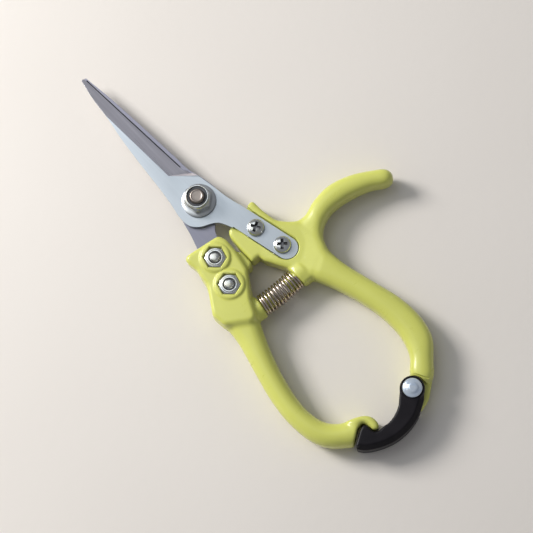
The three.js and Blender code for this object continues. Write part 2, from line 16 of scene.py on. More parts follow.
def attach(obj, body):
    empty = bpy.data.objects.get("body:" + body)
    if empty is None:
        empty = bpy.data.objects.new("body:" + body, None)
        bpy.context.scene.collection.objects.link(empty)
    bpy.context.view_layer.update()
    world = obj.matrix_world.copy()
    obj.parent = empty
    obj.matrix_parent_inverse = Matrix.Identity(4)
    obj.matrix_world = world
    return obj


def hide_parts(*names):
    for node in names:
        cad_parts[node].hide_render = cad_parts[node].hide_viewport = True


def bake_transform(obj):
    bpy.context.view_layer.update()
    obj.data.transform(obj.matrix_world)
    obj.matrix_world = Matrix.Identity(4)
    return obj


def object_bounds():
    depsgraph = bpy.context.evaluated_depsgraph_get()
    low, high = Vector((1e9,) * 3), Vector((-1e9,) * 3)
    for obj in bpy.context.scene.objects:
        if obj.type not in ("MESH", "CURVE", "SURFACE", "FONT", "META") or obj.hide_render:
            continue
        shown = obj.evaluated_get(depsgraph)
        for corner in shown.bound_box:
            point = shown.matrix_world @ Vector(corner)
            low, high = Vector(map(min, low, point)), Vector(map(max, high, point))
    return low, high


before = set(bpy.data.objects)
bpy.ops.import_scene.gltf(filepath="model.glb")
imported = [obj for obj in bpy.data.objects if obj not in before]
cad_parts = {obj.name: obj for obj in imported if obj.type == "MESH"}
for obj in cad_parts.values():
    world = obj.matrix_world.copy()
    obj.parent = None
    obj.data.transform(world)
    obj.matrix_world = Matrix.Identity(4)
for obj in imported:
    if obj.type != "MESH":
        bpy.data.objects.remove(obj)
cad_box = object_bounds()

MM = 0.001

# ---------- dimensions shared with the CAD model, in millimetres ----------

SLIDE = 7.0  # height at which the blades slide on each other
BLADE_GAP = 0.05  # from that height to each blade
BLADE_THICK = 1.8
BLADE_STACK = 2 * BLADE_GAP + BLADE_THICK  # to a washer or screw head on the blade
EDGE_THICK = 0.35  # bevel's foot over the blade's inner face
GRIP_THICK = 11.6
# reach of a tang's rim, a head's back and the nut collars from the sliding height
RIM = 2.7
HEAD_BACK = 6.2
COLLAR_BACK = 6.7
COLLAR_RADIUS = 5.9
TANG_WIDTH = 8.8
BOLT_RADIUS = 3.0
BOLT_HOLE = 3.15
BOLT_ACROSS = 10.0  # head and lock nut, across flats
SCREW_RADIUS = 2.0
SCREW_HOLE = 2.15
RIGHT_SCREWS = np.array([[8.9, -23.6], [11.8, -35.8]])
LEFT_SCREWS = np.array([[-10.9, -22.6], [-13.9, -34.3]])
NUT_ACROSS = 7.5
NUT_SEAT = 1.7  # from the sliding height
NUT_HEIGHT = 4.8
SPRING_LEFT = np.array([-10.2, -47.7])
SPRING_RIGHT = np.array([7.4, -48.6])
SPRING_BEND = 0.2  # angle between the spring's two ends
SPRING_HEIGHT = 6.0
SPRING_RADIUS = 4.1
WIRE_RADIUS = 0.48
PEG_RADIUS = 3.0  # the peg inside the spring
PEG_REACH = 5.5
LATCH_PIVOT = np.array([9.75, -110.6])
STEP_ANGLE = 0.5  # direction from the latch pivot, square to the step in the handle
STEP = 3.9  # from the latch pivot to the step
LEDGE = 5.75  # from the latch pivot to the ledge's line
TONGUE_TOP = 5.5
RIVET_RADIUS = 1.9
RIVET_HOLE = 2.05

# Outlines in plan. Where a point has a third number, it is the radius of that corner.
RIGHT_GRIP = [
    [6, -29], [9, -24], [14, -24], [19.6, -30.6], [25.4, -32.8], [32.2, -30.8], [40.8, -30.1],
    [50, -32.8], [58.8, -38.1], [61.8, -40.5], [62.6, -43.4], [61, -45.8], [58.2, -46],
    [52.4, -42.6], [43.3, -39.6], [34.2, -39], [27.4, -41.9], [24, -47.8], [24.2, -55.8],
    [27.4, -69], [30.8, -82.5], [31.3, -92.4], [29.2, -101], [23.4, -107.8], [18, -113],
    [13, -111.6], [13, -106.2], [17.8, -100.8], [20.5, -92.9], [20.5, -82], [18.3, -71.6],
    [14.4, -60], [10.6, -52], [7.8, -45], [4.8, -38]]
RIGHT_HEAD = [
    [1, -16.6, 2.5], [11.2, -14.9, 0], [15.3, -13.9, 1.4], [15.5, -20, 3], [16.6, -27, 4],
    [22, -33, 2], [24, -48, 4], [10.6, -53.2, 2], [7.9, -52.9, 0], [7.6, -44.2, 0],
    [2.5, -35.8, 2], [2.1, -32.9, 0], [-1.4, -32.9, 0], [-1.4, -25.8, 0], [-0.8, -18.6, 3]]
LEFT_GRIP = [
    [-9, -25], [-13, -20.5], [-18.4, -22], [-20.6, -28.5], [-23, -34], [-26.1, -38.8],
    [-25.9, -45], [-26.5, -52.5], [-29.4, -65], [-32, -77], [-32.9, -88], [-31.6, -98.2],
    [-29.4, -103.4], [-26.6, -106.9], [-23.6, -109.4], [-21.4, -111.1], [-18, -112.6],
    [-13.5, -111.5], [-11.6, -107], [-13, -104.6], [-16, -103.1], [-19.4, -101.2],
    [-22.6, -97.6], [-24.3, -92], [-24.4, -84], [-22.2, -72.6], [-18.4, -60.6], [-14.4, -51],
    [-11, -43], [-7.6, -35.5]]
LEFT_HEAD = [
    [-20.6, -13.8, 3], [-4, -16.6, 2.5], [-2.9, -20, 3], [-3.3, -26.4, 0], [-4.8, -34.4, 0],
    [-11.8, -44.2, 0], [-15.3, -52, 3], [-26, -45, 3], [-26.8, -38.8, 3], [-20.4, -28.5, 5],
    [-19.4, -21, 4]]
LEFT_STOP = [
    [-4.5, -24.5, 0], [-1.7, -27.2, 0], [-1.7, -33, 0], [-3, -34, 0], [-8, -34, 0], [-8, -26, 0]]
TONGUE = [
    [17.6, -103.6, 0], [22.8, -109, 0], [17.2, -113.6, 4], [12, -117.4, 4], [6.9, -118.7, 0],
    [3.9, -114.8, 1.5], [4.9, -109, 4], [11.6, -106.4, 0]]
HOOK = [
    [-16.6, -103.4], [-15.2, -103.6], [-13, -104.4], [-10.6, -105.8], [-9, -107.6], [-8.4, -109.8],
    [-8.9, -112.2], [-10, -113], [-11.5, -112.2], [-11.75, -110.4], [-11.9, -108.6],
    [-12.6, -107.4], [-13.8, -107], [-15, -107.2], [-16.4, -105.8]]
NOTCH = [
    [-24.6, -114.1], [-15.4, -107.6], [-13.8, -107], [-12.6, -107.4], [-11.9, -108.6],
    [-11.75, -110.4], [-11.5, -112.2], [-4, -112], [-4, -122], [-24, -122]]
RIGHT_MOUTH = [[-3, -9], [11.9, -9], [12.6, -17], [3.4, -23], [-0.2, -15]]
LEFT_MOUTH = [[-14.9, -9], [-1.6, -9], [-3.1, -16.4], [-5.4, -20.5], [-14, -17.5]]
# where the grips are thinned down towards the heads
RIGHT_RAMP = [[-12, -4], [26, -4], [31, -26], [27, -46], [12, -56], [-12, -44]]
LEFT_RAMP = [[-34, -4], [8, -4], [6, -42], [-8, -56], [-28, -54], [-36, -36]]


# ---------- outlines ----------

def spline(points, closed=False):
    """A smooth centripetal curve through the points."""
    p = np.array(points, float)
    if closed:
        p = np.vstack([p[-1], p, p[0], p[1]])
    else:
        p = np.vstack([2 * p[0] - p[1], p, 2 * p[-1] - p[-2]])
    curve = []
    for p0, p1, p2, p3 in zip(p, p[1:], p[2:], p[3:]):
        steps = [math.sqrt(np.linalg.norm(b - a)) for a, b in ((p0, p1), (p1, p2), (p2, p3))]
        t0, t1, t2, t3 = np.cumsum([0.0] + steps)
        t = np.linspace(t1, t2, 8, endpoint=False)[:, None]

        def between(a, b, start, end):
            return (end - t) / (end - start) * a + (t - start) / (end - start) * b

        middle = between(p1, p2, t1, t2)
        b1 = between(between(p0, p1, t0, t1), middle, t0, t2)
        b2 = between(middle, between(p2, p3, t2, t3), t1, t3)
        curve.append(between(b1, b2, t1, t2))
    if not closed:
        curve.append(p[-2:-1])
    return np.vstack(curve)


def rounded_loop(points):
    """A closed outline of straight sides with rounded corners, from x, y and corner radius."""
    loop = []
    for i, (x, y, radius) in enumerate(points):
        corner = np.array([x, y])
        before = np.array(points[i - 1][:2]) - corner
        after = np.array(points[(i + 1) % len(points)][:2]) - corner
        if radius <= 0:
            loop.append(corner)
            continue
        lengths = np.linalg.norm(before), np.linalg.norm(after)
        turn = math.acos(np.clip(before @ after / lengths[0] / lengths[1], -1, 1)) / 2
        trim = min(radius / math.tan(turn), 0.48 * lengths[0], 0.48 * lengths[1])
        start, end = corner + before * trim / lengths[0], corner + after * trim / lengths[1]
        for t in np.linspace(0, 1, 5):
            loop.append((1 - t) ** 2 * start + 2 * t * (1 - t) * corner + t * t * end)
    return np.array(loop)


def arc(centre, radius, start, end, steps):
    angles = np.linspace(start, end, steps)
    return np.array(centre) + radius * np.stack([np.cos(angles), np.sin(angles)], 1)


def circle(centre, radius, sides):
    return arc(centre, radius, 0, 2 * math.pi, sides + 1)[:-1]


def hexagon(centre, across, turn):
    """A hexagon from its width across flats. turn is the direction of a flat."""
    start = turn + math.pi / 6
    return arc(centre, across / math.sqrt(3), start, start + 2 * math.pi, 7)[:-1]


def tang(screws, width, front=11.0, rear=2.0):
    """The strip of a blade that is screwed into a handle, with a round end."""
    along = screws[1] - screws[0]
    along = along / np.linalg.norm(along)
    across = np.array([-along[1], along[0]])
    heading = math.atan2(along[1], along[0])
    start, end = screws[0] - front * along, screws[1] + rear * along
    round_end = arc(end, width / 2, heading - math.pi / 2, heading + math.pi / 2, 24)
    return np.vstack([[start + width / 2 * across, start - width / 2 * across], round_end])


# ---------- solids from distance fields ----------

def distance(loop, x, y):
    """Distance in the plane from a closed outline, negative inside it."""
    nearest = np.full(np.broadcast(x, y).shape, 1e9)
    inside = np.zeros(nearest.shape, bool)
    loop = np.asarray(loop, float)
    for (ax, ay), (bx, by) in zip(loop, np.roll(loop, -1, 0)):
        ex, ey = bx - ax, by - ay
        length = ex * ex + ey * ey
        if length < 1e-12:
            continue
        t = np.clip(((x - ax) * ex + (y - ay) * ey) / length, 0, 1)
        nearest = np.minimum(nearest, (x - ax - t * ex) ** 2 + (y - ay - t * ey) ** 2)
        if ay != by:
            inside ^= ((ay > y) != (by > y)) & (x < ex * (y - ay) / ey + ax)
    return np.where(inside, -1.0, 1.0) * np.sqrt(nearest)


def blurred(flat, cells):
    """A plan field smoothed over a few grid cells, which takes out the creases along its middle."""
    reach = int(3 * cells) + 1
    kernel = np.exp(-0.5 * (np.arange(-reach, reach + 1) / cells) ** 2)
    kernel /= kernel.sum()
    for axis in (0, 1):
        pad = [(0, 0), (0, 0)]
        pad[axis] = (reach, reach)
        wide = np.pad(flat, pad, mode="edge")
        flat = sum(w * np.take(wide, np.arange(i, i + flat.shape[axis]), axis)
                   for i, w in enumerate(kernel))
    return flat


def rounded(flat, z, low, high, radius):
    """Field of a plate between two heights with rounded edges, from its plan field."""
    side = flat + radius
    upright = np.abs(z - (low + high) / 2) - (high - low) / 2 + radius
    outside = np.hypot(np.maximum(side, 0), np.maximum(upright, 0))
    return np.minimum(np.maximum(side, upright), 0) + outside - radius


def joined(a, b, soft):
    """Two fields joined, with a fillet between them."""
    h = np.clip(0.5 + 0.5 * (b - a) / soft, 0, 1)
    return b * (1 - h) + a * h - soft * h * (1 - h)


def less(a, b, soft):
    """The first field without the second, with a soft edge between them."""
    return -joined(-a, b, soft)


class Grid:
    """A block of evenly spaced points that fields are worked out on."""

    def __init__(self, low, high, step):
        self.low, self.step = np.array(low, float), step
        counts = np.ceil((np.array(high) - self.low) / step).astype(int) + 1
        x, y, z = (self.low[i] + step * np.arange(counts[i]) for i in range(3))
        self.x, self.y, self.z = x[:, None], y[None, :], z[None, None, :]

    def away(self, centre):
        """Distance in the plane from a point."""
        return np.hypot(self.x - centre[0], self.y - centre[1])[:, :, None]

    def plan(self, loop, blur=0.0):
        flat = distance(loop, self.x, self.y)
        if blur:
            flat = blurred(flat, blur / self.step)
        return flat[:, :, None]

    def rod(self, start, direction, reach, radius, round_edge):
        """Field of a round peg that lies level at the spring's height."""
        dx, dy = self.x[:, :, None] - start[0], self.y[:, :, None] - start[1]
        along = dx * direction[0] + dy * direction[1]
        across = np.hypot(dy * direction[0] - dx * direction[1], self.z - SPRING_HEIGHT)
        return rounded(across - radius, along, -4.0, reach, round_edge)

    def sample(self, field, points):
        """The field at any points, by linear interpolation."""
        p = (points - self.low) / self.step
        cell = np.clip(np.floor(p).astype(int), 0, np.array(field.shape) - 2)
        t = p - cell
        total = np.zeros(len(points))
        for corner in itertools.product((0, 1), repeat=3):
            weight = np.prod(np.where(corner, t, 1 - t), axis=1)
            total += weight * field[tuple((cell + corner).T)]
        return total

    def skin(self, field):
        """Vertices and four-sided faces of the surface where the field is zero."""
        inside = field < 0
        shape = np.array(field.shape)
        cells_shape = tuple(shape - 1)
        filled = np.zeros(cells_shape, int)
        for corner in itertools.product((0, 1), repeat=3):
            filled += inside[tuple(slice(c, c + n) for c, n in zip(corner, cells_shape))]
        active = (filled > 0) & (filled < 8)
        cells = np.argwhere(active)
        number = np.full(cells_shape, -1)
        number[active] = np.arange(len(cells))
        total, count = np.zeros((len(cells), 3)), np.zeros(len(cells))
        faces = []
        for axis in range(3):
            others = [i for i in range(3) if i != axis]
            unit = np.eye(3, dtype=int)[axis]
            for offsets in itertools.product((0, 1), repeat=2):
                start = np.zeros(3, int)
                start[others] = offsets
                a = field[tuple((cells + start).T)]
                b = field[tuple((cells + start + unit).T)]
                crossed = (a < 0) != (b < 0)
                t = a[crossed] / (a[crossed] - b[crossed])
                total[crossed] += start + t[:, None] * unit
                count[crossed] += 1
            first = np.take(inside, range(shape[axis] - 1), axis)
            second = np.take(inside, range(1, shape[axis]), axis)
            edges = np.argwhere(first != second)
            keep = np.all([(edges[:, o] > 0) & (edges[:, o] < shape[o] - 1) for o in others], 0)
            edges = edges[keep]
            outward = first[tuple(edges.T)] ^ (axis == 1)
            quad = []
            for shift in ((0, 0), (1, 0), (1, 1), (0, 1)):
                cell = edges.copy()
                cell[:, others] -= shift
                quad.append(number[tuple(cell.T)])
            quad = np.stack(quad, 1)
            faces.append(np.where(outward[:, None], quad, quad[:, ::-1]))
        points = self.low + self.step * (cells + total / count[:, None])
        h = 0.5 * self.step
        for _ in range(3):
            slope = np.stack([
                self.sample(field, points + h * e) - self.sample(field, points - h * e)
                for e in np.eye(3)], 1) / (2 * h)
            steep = np.maximum((slope ** 2).sum(1), 0.05)
            move = -self.sample(field, points)[:, None] * slope / steep[:, None]
            points = points + np.clip(move, -h, h)
        return points, np.vstack(faces)


# ---------- meshes ----------

def placed(name, data):
    """A new object in the scene."""
    obj = bpy.data.objects.new(name, data)
    bpy.context.scene.collection.objects.link(obj)
    return obj


def mesh_object(name, points, faces):
    """An object from points in millimetres, with its faces turned outward."""
    mesh = bpy.data.meshes.new(name)
    mesh.from_pydata((np.asarray(points) * MM).tolist(), [], [list(map(int, f)) for f in faces])
    mesh.validate()
    bm = bmesh.new()
    bm.from_mesh(mesh)
    bmesh.ops.recalc_face_normals(bm, faces=bm.faces)
    bm.to_mesh(mesh)
    bm.free()
    return placed(name, mesh)


def loft(rings, ring_shaped=False):
    """Points and faces of a skin over rings of points, capped at both ends or closed on itself."""
    rings = [np.asarray(r, float) for r in rings]
    n = len(rings[0])
    faces = []
    last = len(rings) if ring_shaped else len(rings) - 1
    for i in range(last):
        a, b = i * n, (i + 1) % len(rings) * n
        faces += [(a + j, a + (j + 1) % n, b + (j + 1) % n, b + j) for j in range(n)]
    if not ring_shaped:
        faces.append(tuple(reversed(range(n))))
        faces.append(tuple(range((len(rings) - 1) * n, len(rings) * n)))
    return np.vstack(rings), faces


def at_height(loop, z):
    return np.column_stack([loop, np.full(len(loop), float(z))])


def prism(loop, low, high):
    return loft([at_height(loop, low), at_height(loop, high)])


def applied(obj):
    """Turns an object's modifiers into its mesh."""
    bpy.context.view_layer.update()
    graph = bpy.context.evaluated_depsgraph_get()
    mesh = bpy.data.meshes.new_from_object(obj.evaluated_get(graph))
    obj.modifiers.clear()
    old, obj.data = obj.data, mesh
    bpy.data.meshes.remove(old)
    mesh.name = obj.name


def boolean(obj, tools, operation="DIFFERENCE"):
    """Cuts each tool, given as points and faces, out of the object, or joins it on."""
    for points, faces in tools:
        tool = mesh_object("tool", points, faces)
        modifier = obj.modifiers.new("cut", "BOOLEAN")
        modifier.operation, modifier.object, modifier.solver = operation, tool, "MANIFOLD"
        applied(obj)
        bpy.data.objects.remove(tool)


def shade(obj, degrees=32):
    """Smooth shading, except over edges sharper than the angle."""
    obj.data.shade_smooth()
    obj.data.set_sharp_from_angle(angle=math.radians(degrees))
    return obj


def edge_rounding(obj, width, segments, degrees):
    """Rounds every edge sharper than the angle."""
    modifier = obj.modifiers.new("edges", "BEVEL")
    modifier.width, modifier.segments = width * MM, segments
    modifier.limit_method, modifier.angle_limit = "ANGLE", math.radians(degrees)
    applied(obj)


def half_space(points, faces, cuts):
    """A block cut down by planes, each a point and the direction that is taken away."""
    bm = bmesh.new()
    verts = [bm.verts.new(p) for p in points]
    for face in faces:
        bm.faces.new([verts[i] for i in face])
    for point, away in cuts:
        cut = bmesh.ops.bisect_plane(
            bm, geom=bm.verts[:] + bm.edges[:] + bm.faces[:], plane_co=point, plane_no=away,
            clear_outer=True)
        edges = [e for e in cut["geom_cut"] if isinstance(e, bmesh.types.BMEdge)]
        bmesh.ops.edgeloop_fill(bm, edges=edges)
    bm.verts.index_update()
    result = np.array([v.co for v in bm.verts]), [[v.index for v in f.verts] for f in bm.faces]
    bm.free()
    return result


# ---------- materials ----------

class Finish:
    """A principled shader with procedural noise in its colour, roughness and surface."""

    def __init__(self, name, base, roughness, metallic=0.0, **sockets):
        self.material = bpy.data.materials.new(name)
        self.material.use_nodes = True
        tree = self.material.node_tree
        self.nodes, self.links = tree.nodes, tree.links
        self.shader = self.nodes["Principled BSDF"]
        self.base, self.roughness = base, roughness
        sockets.update(Base_Color=base, Roughness=roughness, Metallic=metallic)
        for socket, value in sockets.items():
            self.shader.inputs[socket.replace("_", " ")].default_value = value
        self.place = self.nodes.new("ShaderNodeTexCoord").outputs["Object"]
        self.height = None

    def node(self, kind, inputs, **settings):
        node = self.nodes.new(kind)
        for key, value in settings.items():
            setattr(node, key, value)
        for key, value in inputs.items():
            socket = node.inputs[key]
            if isinstance(value, bpy.types.NodeSocket):
                self.links.new(value, socket)
            else:
                socket.default_value = value
        return node

    def noise(self, scale, stretch=(1, 1, 1), turn=0.0, detail=3.0, roughness=0.55, seed=0.0):
        """Noise with features of about 1 / scale metres, shorter where the stretch is larger."""
        mapped = self.node("ShaderNodeMapping", {
            "Vector": self.place, "Rotation": (0, 0, turn), "Location": (seed, seed, seed),
            "Scale": stretch})
        return self.node("ShaderNodeTexNoise", {
            "Vector": mapped.outputs[0], "Scale": scale, "Detail": detail,
            "Roughness": roughness}).outputs["Fac"]

    def ranged(self, value, low, high, start=0.3, end=0.7):
        return self.node("ShaderNodeMapRange", {
            "Value": value, "From Min": start, "From Max": end, "To Min": low,
            "To Max": high}).outputs["Result"]

    def maths(self, operation, a, b):
        return self.node("ShaderNodeMath", {0: a, 1: b}, operation=operation).outputs[0]

    def mixed(self, factor, first, second):
        node = self.node("ShaderNodeMix", {0: factor, 6: first, 7: second}, data_type="RGBA")
        return node.outputs[2]

    def edges(self, radius):
        """About 1 along outward edges and 0 elsewhere."""
        pointed = self.nodes.new("ShaderNodeNewGeometry").outputs["Pointiness"]
        return self.ranged(pointed, 0.0, 1.0, 0.53, 0.53 + radius)

    def colour(self, output):
        self.links.new(output, self.shader.inputs["Base Color"])

    def rough(self, output):
        self.links.new(output, self.shader.inputs["Roughness"])

    def bump(self, height, strength, depth):
        """Adds relief. depth is the height in metres that a change of 1 stands for."""
        inputs = {"Height": height, "Strength": strength, "Distance": depth}
        if self.height is not None:
            inputs["Normal"] = self.height
        self.height = self.node("ShaderNodeBump", inputs).outputs[0]
        self.links.new(self.height, self.shader.inputs["Normal"])


def tinted(colour, factor):
    return tuple(min(1.0, c * factor) for c in colour[:3]) + (1.0,)


def lime_finish():
    f = Finish("lime_plastic", (0.64, 0.655, 0.145, 1), 0.33, Specular_IOR_Level=0.5,
               Coat_Weight=0.25, Coat_Roughness=0.18, Subsurface_Weight=0.08,
               Subsurface_Radius=(0.0015, 0.0015, 0.0004))
    cloud = f.noise(60, seed=3.1, detail=2)
    tone = f.mixed(f.ranged(cloud, 0, 1), tinted(f.base, 0.965), tinted(f.base, 1.03))
    worn = f.maths("MULTIPLY", f.edges(0.06), f.ranged(f.noise(900, seed=1.7), 0, 0.5))
    f.colour(f.mixed(worn, tone, (0.70, 0.74, 0.26, 1)))
    grain = f.noise(2600, seed=5.0, detail=2)
    smear = f.noise(130, stretch=(1, 3, 1), seed=8.2)
    f.rough(f.maths("ADD", f.ranged(smear, 0.27, 0.38), f.ranged(grain, -0.02, 0.03)))
    f.bump(f.noise(55, seed=2.2, detail=1), 0.35, 0.00025)
    f.bump(grain, 0.12, 0.00003)
    return f.material


def blade_finish(name, base, roughness, turn, lines=0.25):
    """Ground steel with fine lines along one direction. turn is that direction from +Y."""
    f = Finish(name, base, roughness, 1.0)
    fine = f.noise(900, stretch=(1, 0.02, 1), turn=turn, detail=4, roughness=0.7, seed=4.4)
    broad = f.noise(160, stretch=(1, 0.05, 1), turn=turn, detail=2, seed=0.6)
    cloud = f.noise(45, seed=7.3, detail=2)
    shade_of = f.maths("ADD", f.maths("MULTIPLY", fine, 0.5), f.maths("MULTIPLY", cloud, 0.5))
    f.colour(f.mixed(f.ranged(shade_of, 0, 1, 0.35, 0.65), tinted(base, 0.93), tinted(base, 1.04)))
    f.rough(f.maths("ADD", f.ranged(broad, roughness - 0.05, roughness + 0.05),
                    f.ranged(fine, -0.04, 0.05)))
    f.bump(fine, lines, 0.00002)
    return f.material


def plated_finish(name, base, roughness, tint=None, lathe=None, metallic=1.0):
    """Bright plate with slight mottling, scuffs, and an optional second tint in patches."""
    f = Finish(name, base, roughness, metallic)
    patch = f.noise(420, seed=2.9, detail=3)
    scuff = f.noise(1500, stretch=(1, 0.3, 1), seed=6.1, detail=3)
    f.colour(f.mixed(f.ranged(patch, 0, 1, 0.38, 0.68), base, tint or tinted(base, 0.86)))
    f.rough(f.maths("ADD", f.ranged(patch, roughness - 0.03, roughness + 0.07),
                    f.ranged(scuff, -0.03, 0.04)))
    f.bump(scuff, 0.2, 0.00002)
    if lathe is not None:
        centred = f.node("ShaderNodeMapping", {
            "Vector": f.place, "Location": (-lathe[0] * MM, -lathe[1] * MM, 0)})
        rings = f.node("ShaderNodeTexWave", {
            "Vector": centred.outputs[0], "Scale": 700.0, "Distortion": 0.6, "Detail": 2.0},
            wave_type="RINGS", rings_direction="Z")
        f.bump(rings.outputs["Fac"], 0.25, 0.00003)
    return f.material


def latch_finish():
    f = Finish("black_plastic", (0.006, 0.005, 0.007, 1), 0.4, Specular_IOR_Level=0.2)
    cloud = f.noise(120, seed=1.3)
    grain = f.noise(1900, seed=9.0, detail=3)
    worn = f.maths("MULTIPLY", f.edges(0.05), f.ranged(grain, 0.2, 0.8))
    base = f.mixed(f.ranged(cloud, 0, 1), f.base, (0.012, 0.010, 0.013, 1))
    f.colour(f.mixed(worn, base, (0.05, 0.045, 0.055, 1)))
    f.rough(f.maths("ADD", f.ranged(cloud, 0.36, 0.46), f.ranged(grain, -0.04, 0.06)))
    f.bump(grain, 0.25, 0.00005)
    return f.material


def nylon_finish():
    f = Finish("dark_nylon", (0.06, 0.062, 0.07, 1), 0.45)
    cloud = f.noise(700, seed=2.0)
    f.colour(f.mixed(f.ranged(cloud, 0, 1), (0.045, 0.047, 0.055, 1), (0.08, 0.083, 0.09, 1)))
    f.rough(f.ranged(cloud, 0.4, 0.55))
    f.bump(cloud, 0.2, 0.00004)
    return f.material


lime = lime_finish()
upper_steel = blade_finish("ground_steel_upper", (0.53, 0.57, 0.61, 1), 0.34, 0.0)
lower_steel = blade_finish("ground_steel_lower", (0.28, 0.275, 0.33, 1), 0.36, 0.0)
bevel_steel = blade_finish("ground_steel_bevel", (0.80, 0.77, 0.84, 1), 0.30, 1.35, lines=0.5)
# painted shadow: a near-black steel for the faces of the gap line beside the upper blade's edge
gap_shadow_steel = plated_finish("steel_painted_gap_shadow", (0.05, 0.05, 0.06, 1), 0.6)
washer_zinc = plated_finish("washer_plate", (0.60, 0.62, 0.64, 1), 0.34)
zinc = plated_finish("zinc_plate", (0.70, 0.72, 0.74, 1), 0.20, tint=(0.62, 0.60, 0.50, 1))
# painted shade: a darker, duller zinc for the walls and floor of the screws' cross recesses
recess_shade_zinc = plated_finish("zinc_painted_recess_shade", (0.24, 0.24, 0.25, 1), 0.4)
bolt_steel = plated_finish("bolt_steel", (0.36, 0.31, 0.28, 1), 0.34, lathe=(0, 0))
rivet_steel = plated_finish("rivet_steel", (0.78, 0.86, 0.96, 1), 0.10,
                            tint=(0.66, 0.77, 0.94, 1), metallic=0.6)
wire_steel = plated_finish("wire_steel", (0.66, 0.57, 0.50, 1), 0.2, tint=(0.52, 0.43, 0.36, 1))
black = latch_finish()
nylon = nylon_finish()


def finished(obj, material, body, slot, *nodes):
    """Gives a piece its material and body, and hides the CAD nodes it stands for. The slot is not
    used.
    """
    obj.data.materials.clear()
    obj.data.materials.append(material)
    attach(obj, body)
    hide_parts(*nodes)


# ---------- handles ----------

FIELD_STEP = 0.45
GRIP_ROUND = 4.7  # edge radius of the grips
RAMP_LENGTH = 8  # over which a grip is thinned down
PLATEAU = 12.95  # top of the left head between its collars


def nut_turn(screws):
    """The turn that puts a corner of a nut's hexagon along the tang."""
    return math.atan2(*(screws[1] - screws[0])[::-1]) + math.pi / 6


def pocket_tools(side, screws):
    """Screw holes, and nut pockets that open away from the blade with a small chamfer."""
    opening, seat = SLIDE - side * COLLAR_BACK, SLIDE - side * NUT_SEAT
    tools = []
    for centre in screws:
        across = NUT_ACROSS + 0.5
        wide = across + 1.4
        rings = [(across, seat), (across, opening + side * 0.45), (wide, opening - side * 0.3),
                 (wide, opening - side * 4)]
        hexagons = [at_height(hexagon(centre, a, nut_turn(screws)), z) for a, z in rings]
        tools.append(loft(hexagons))
        tools.append(prism(circle(centre, SCREW_HOLE, 24), -3, 18))
    return tools


def recess_tools(side, screws, mouth):
    """The recess that a tang lies in, with a small chamfer along its rim."""
    rim = SLIDE + side * RIM
    tools = []
    narrow, wide = TANG_WIDTH + 0.9, TANG_WIDTH + 1.7
    widths = [(narrow, SLIDE), (narrow, rim - side * 0.3), (wide, rim + side * 0.3),
              (wide, rim + side * 6)]
    tools.append(loft([at_height(tang(screws, w), z) for w, z in widths]))
    tools.append(prism(np.array(mouth, float), SLIDE, SLIDE + side * 9))
    return tools


def collars(grid, side, screws, field):
    for centre in screws:
        low, high = sorted((SLIDE - side * 2, SLIDE - side * COLLAR_BACK))
        collar = rounded(grid.away(centre) - COLLAR_RADIUS, grid.z, low, high, 0.5)
        field = joined(field, collar, 0.4)
    return field


def unit(vector):
    return np.asarray(vector) / np.linalg.norm(vector)


def turned_by(vector, angle):
    c, s = math.cos(angle), math.sin(angle)
    return np.array([c * vector[0] - s * vector[1], s * vector[0] + c * vector[1]])


def right_handle():
    grid = Grid((-4, -122, -1.5), (66, -11, 13.5), FIELD_STEP)
    z = grid.z
    grip = rounded(grid.plan(spline(RIGHT_GRIP, True), 0.8), z, 0, GRIP_THICK, GRIP_ROUND)
    ramp = grid.plan(RIGHT_RAMP, 2.5)
    share = np.clip((ramp + RAMP_LENGTH) / RAMP_LENGTH, 0, 1)
    ceiling = SLIDE + RIM + (GRIP_THICK - SLIDE - RIM) * share
    grip = less(grip, ceiling - z, 2.2)
    head = grid.plan(rounded_loop(RIGHT_HEAD), 0.35)
    head = rounded(head, z, SLIDE - HEAD_BACK, SLIDE + RIM, 1.4)
    body = joined(grip, head, 1.6)
    # the end is stepped down to a tongue under the latch
    dx, dy = grid.x - LATCH_PIVOT[0], grid.y - LATCH_PIVOT[1]
    along = (dx * math.cos(STEP_ANGLE) + dy * math.sin(STEP_ANGLE))[:, :, None]
    bearing = np.arctan2(dy, dx)[:, :, None]
    away = grid.away(LATCH_PIVOT)
    # room for the hub, a little more on the outer side
    reach = 5.0 + 0.35 * np.clip((0.3 - bearing) / 0.4, 0, 1)
    beside = np.minimum(along - STEP, away - reach)
    near_end = away - 22
    body = less(body, np.maximum(np.maximum(beside, TONGUE_TOP - z), near_end), 0.15)
    tongue = rounded(grid.plan(rounded_loop(TONGUE), 0.5), z, 0, TONGUE_TOP, 1.9)
    body = joined(body, tongue, 0.5)
    towards = turned_by(unit(SPRING_LEFT - SPRING_RIGHT), SPRING_BEND / 2)
    body = joined(body, grid.rod(SPRING_RIGHT, towards, 0.0, 4.6, 0.6), 1.2)
    body = joined(body, grid.rod(SPRING_RIGHT, towards, PEG_REACH, PEG_RADIUS, 0.6), 0.4)
    body = collars(grid, 1, RIGHT_SCREWS, body)
    obj = mesh_object("right_handle_moulding", *grid.skin(body))
    seats = ((RIVET_HOLE, 13), (3.6, 1.3))
    rivet_seat = [prism(circle(LATCH_PIVOT, r, 40), -2, h) for r, h in seats]
    # a narrow ledge and a line moulded across the handle just before that step
    square = turned_by(np.array([1.0, 0.0]), STEP_ANGLE)
    across = turned_by(square, math.pi / 2)
    ledge = [prism(np.array([LATCH_PIVOT + a * square + b * across for a, b in (
        (near, -14), (LEDGE, -14), (LEDGE, 16), (near, 16))]), depth, 15)
        for near, depth in ((-8, 10.7), (LEDGE - 0.5, 9.7))]
    boolean(obj, recess_tools(1, RIGHT_SCREWS, RIGHT_MOUTH) + pocket_tools(1, RIGHT_SCREWS)
            + rivet_seat + ledge)
    finished(shade(obj), lime, "right", "handle_lime", "right_handle")


